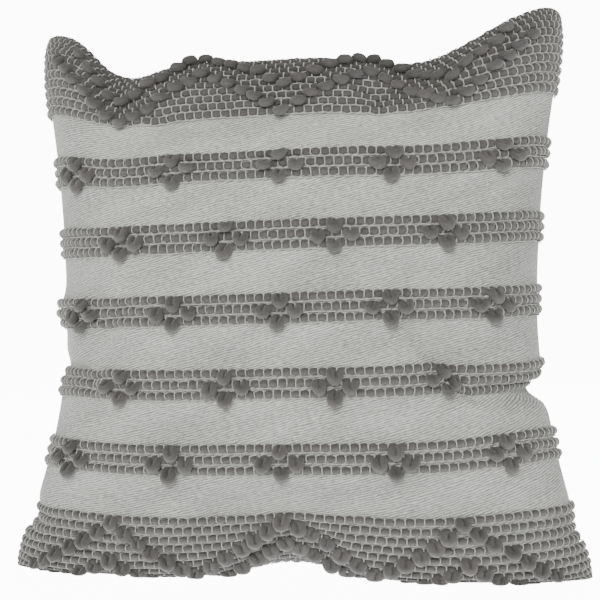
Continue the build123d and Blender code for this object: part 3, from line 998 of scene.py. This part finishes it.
zipTurns = np.linspace(zipLine["halfAngle"], -zipLine["halfAngle"], 60) * math.pi / 180
zipSize = (2 * math.radians(zipLine["halfAngle"]) * zipLine["radius"], 12 * mm)
zipUps = np.linspace(-0.5, 0.5, 5) * zipSize[1]
turnGrid, upGrid = np.meshgrid(zipTurns, zipUps)
zipFace = zipPlace(turnGrid, zipLine["tape"], upGrid)
zipGuide = bareGuide("zipGuide", zipFace, turned=True)
for partName, side in (("upper", 1), ("lower", -1)):
    coilTurn = shapeCollection("coil" + partName, [coilMesh(side)])
    count = int(zipSize[0] / zipLine["coilPitch"] / 2)
    shift = 0.25 * side
    up = side * zipLine["coilMiddle"]
    points = [((i + shift) * zipLine["coilPitch"], up) for i in range(1 - count, count)]
    piece = layOnPanel("zipCoil" + partName.title(), points, coilTurn, zipGuide, nylon, lift=0.1 * mm,
                       size=zipSize)
    ride(piece, "zip_coil", "zip_coil_" + partName)
bpy.data.objects.remove(zipGuide)
print("zip made")

stripeSegment = shapeCollection("stripeSegment", [segmentMesh(yarn["rowHigh"])])
bandSegment = shapeCollection("bandSegment", [segmentMesh(yarn["bandHigh"])])
stripeTie = shapeCollection("stripeTie", [tieMesh(yarn["rowHigh"], yarn["stripeRowPitch"])])
bandTie = shapeCollection("bandTie", [tieMesh(yarn["bandHigh"], yarn["bandRowPitch"])])
loops = shapeCollection("loop", [loopMesh(i) for i in range(loop["shapes"])])

for number in range(1, yarn["stripes"] + 1):
    middle = stripeMiddle(number)
    rows, ties = [], []
    for row in (1, 0, -1):
        up = middle + row * yarn["stripeRowPitch"]
        offset = 0.5 if row == 0 else 0.0
        rows += rowPoints(up, offset)
        ties += rowPoints(up, offset + 0.5)
    piece = layOnPanel("stripe" + str(number) + "Yarn", rows, stripeSegment, guide, roving,
                       unevenSize=0.10, unevenTurn=0.06, seed=number)
    ride(piece, "roving_yarn", "stripe_" + str(number) + "_yarn")
    piece = layOnPanel("stripe" + str(number) + "Ties", ties, stripeTie, guide, warpThread,
                       unevenSize=0.08, unevenTurn=0.12, seed=number)
    ride(piece, "handloomed_ground")
    piece = layOnPanel("stripe" + str(number) + "Loops", clusterPoints(number), loops, guide, roving,
                       lift=loop["lift"], unevenSize=0.08, unevenTurn=0.22, seed=10 + number)
    ride(piece, "roving_yarn", "stripe_" + str(number) + "_loops")
print("stripes woven")

# the two zigzag lines of each band: first row, and how many loops they run to each side of the middle
zigzags = {
    "top": (("Inner", 0, 18), ("Outer", 3.5, 16)),
    "bottom": (("Inner", 0, 18), ("Outer", 4, 18)),
}
for bandName, end in (("top", 1), ("bottom", -1)):
    rows, ties = [], []
    for row in range(yarn["bandRows"]):
        up = end * (yarn["bandStart"] + row * yarn["bandRowPitch"])
        offset = 0.5 * (row % 2)
        rows += rowPoints(up, offset)
        ties += rowPoints(up, offset + 0.5)
    piece = layOnPanel(bandName + "BandYarn", rows, bandSegment, guide, roving,
                       unevenSize=0.10, unevenTurn=0.06, seed=20)
    ride(piece, "roving_yarn", bandName + "_band_yarn")
    piece = layOnPanel(bandName + "BandTies", ties, bandTie, guide, warpThread,
                       unevenSize=0.08, unevenTurn=0.12, seed=21)
    ride(piece, "handloomed_ground")
    for line, firstRow, reach in zigzags[bandName]:
        points = zigzagPoints(end, firstRow, reach)
        piece = layOnPanel(bandName + "Band" + line + "Loops", points, loops, guide, roving,
                           lift=loop["lift"], unevenSize=0.08, unevenTurn=0.22, seed=22 + int(firstRow))
        ride(piece, "roving_yarn", bandName + "_band_" + line.lower() + "_loops")
bpy.data.objects.remove(guide)
print("bands woven")

carried = {
    "zip_tape_upper": tapeCloth, "zip_tape_lower": tapeCloth, "zip_top_stops": enamel,
    "zip_bottom_stop": enamel, "zip_slider": enamel, "zip_pull": enamel,
}
for node, material in carried.items():
    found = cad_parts[node]
    for cadObject in found if isinstance(found, list) else [found]:
        cadObject.data.materials.clear()
        cadObject.data.materials.append(material)

floorMesh = bpy.data.meshes.new("floor")
floorMesh.from_pydata([(-6, -6, 0), (6, -6, 0), (6, 6, 0), (-6, 6, 0)], [], [(0, 1, 2, 3)])
floor = bpy.data.objects.new("floor", floorMesh)
scene.collection.objects.link(floor)
floor.visible_diffuse = False       # the white floor is seen, but throws no light up at the pillow
paper, _, paperShader = newMaterial("seamlessPaper", 0.9)
paperShader.inputs["Base Color"].default_value = colour("#f2f2f0")
paperShader.inputs["Emission Color"].default_value = (1, 1, 1, 1)
paperShader.inputs["Emission Strength"].default_value = studioWalls["seen"]
floorMesh.materials.append(paper)
